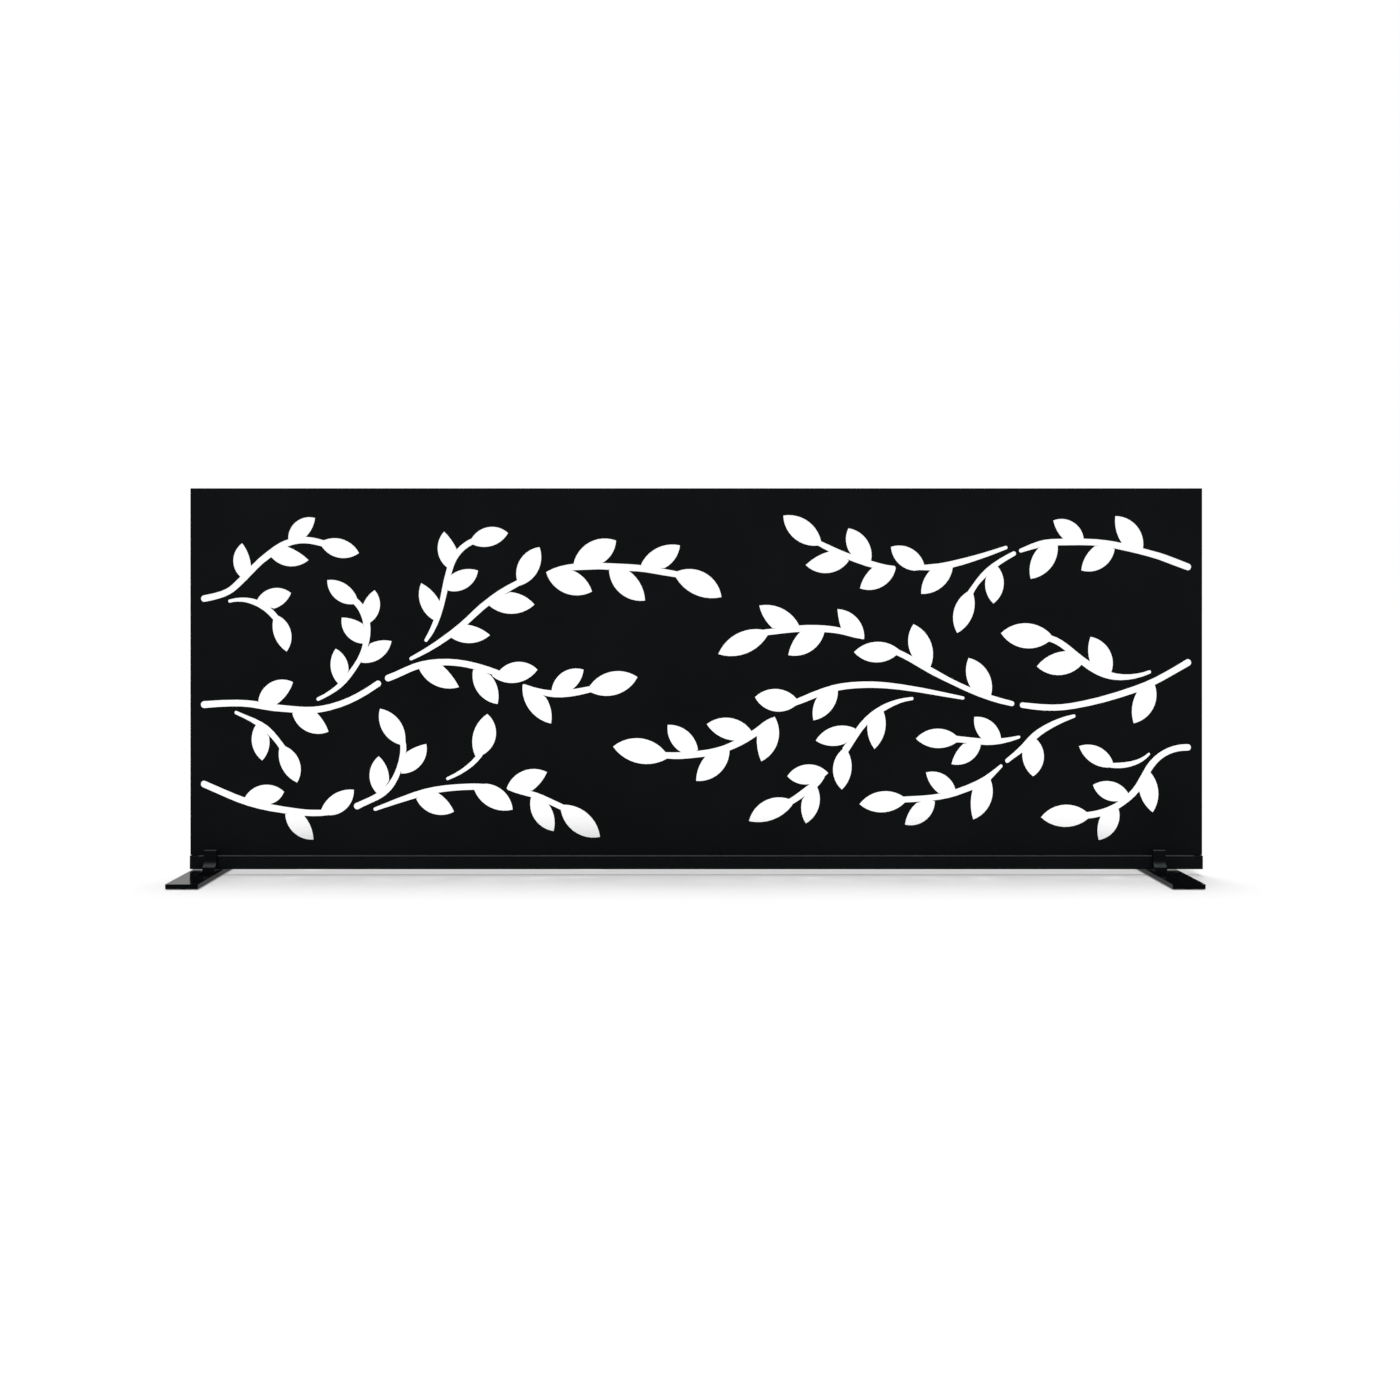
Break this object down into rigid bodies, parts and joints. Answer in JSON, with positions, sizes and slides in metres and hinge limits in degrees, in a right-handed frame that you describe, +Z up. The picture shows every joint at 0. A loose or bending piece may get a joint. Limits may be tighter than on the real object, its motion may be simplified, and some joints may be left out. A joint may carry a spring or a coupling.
{
  "type": "decorative screen panel",
  "caption": "Low free-standing metal screen with a leafy vine cut-out, a bottom rail and sliding clamp feet.",
  "frame": {"origin": "on the floor, under the middle of the panel", "axes": "+X along the panel to the viewer's right, +Y to the back, +Z up"},
  "size_m": [1.2, 0.255, 0.459],
  "materials": {
    "panel_coat": "fine satin black powder coat",
    "rail_coat": "satin black powder coat on an extrusion",
    "foot_coat": "semi-gloss black powder coat",
    "saddle_coat": "satin black powder coat on a cast saddle",
    "cap_plastic": "moulded black plastic",
    "knob_plastic": "black plastic knob",
    "black_steel": "blackened steel",
    "pad_rubber": "black rubber"
  },
  "bodies": {
    "screen": {"screen_sheet": "panel_coat", "top_angle": "panel_coat", "bottom_rail": "rail_coat", "top_rivets": "panel_coat", "rail_screws": "black_steel", "left_side_angle": "panel_coat", "right_side_angle": "panel_coat", "left_side_rivets": "panel_coat", "right_side_rivets": "panel_coat", "left_rail_cap": "cap_plastic", "right_rail_cap": "cap_plastic"},
    "left_foot": {"left_foot_plate": "foot_coat", "left_foot_pads": "pad_rubber", "left_saddle": "saddle_coat", "left_base_screws": "black_steel", "left_clamp_nut": "black_steel"},
    "left_clamp": {"left_clamp_screw": "knob_plastic"},
    "right_foot": {"right_foot_plate": "foot_coat", "right_foot_pads": "pad_rubber", "right_saddle": "saddle_coat", "right_base_screws": "black_steel", "right_clamp_nut": "black_steel"},
    "right_clamp": {"right_clamp_screw": "knob_plastic"}
  },
  "joints": [
    {"name": "left_foot_slide", "type": "slide", "parent": "screen", "child": "left_foot", "axis": [1, 0, 0], "range_m": [-0.018, 0.3]},
    {"name": "left_clamp_turn", "type": "hinge", "parent": "left_foot", "child": "left_clamp", "pos_m": [-0.5736, 0.02, 0.019], "axis": [0, 1, 0], "range_deg": [0, 360]},
    {"name": "right_foot_slide", "type": "slide", "parent": "screen", "child": "right_foot", "axis": [1, 0, 0], "range_m": [-0.3, 0.0455]},
    {"name": "right_clamp_turn", "type": "hinge", "parent": "right_foot", "child": "right_clamp", "pos_m": [0.5461, 0.02, 0.019], "axis": [0, 1, 0], "range_deg": [0, 360]}
  ]
}
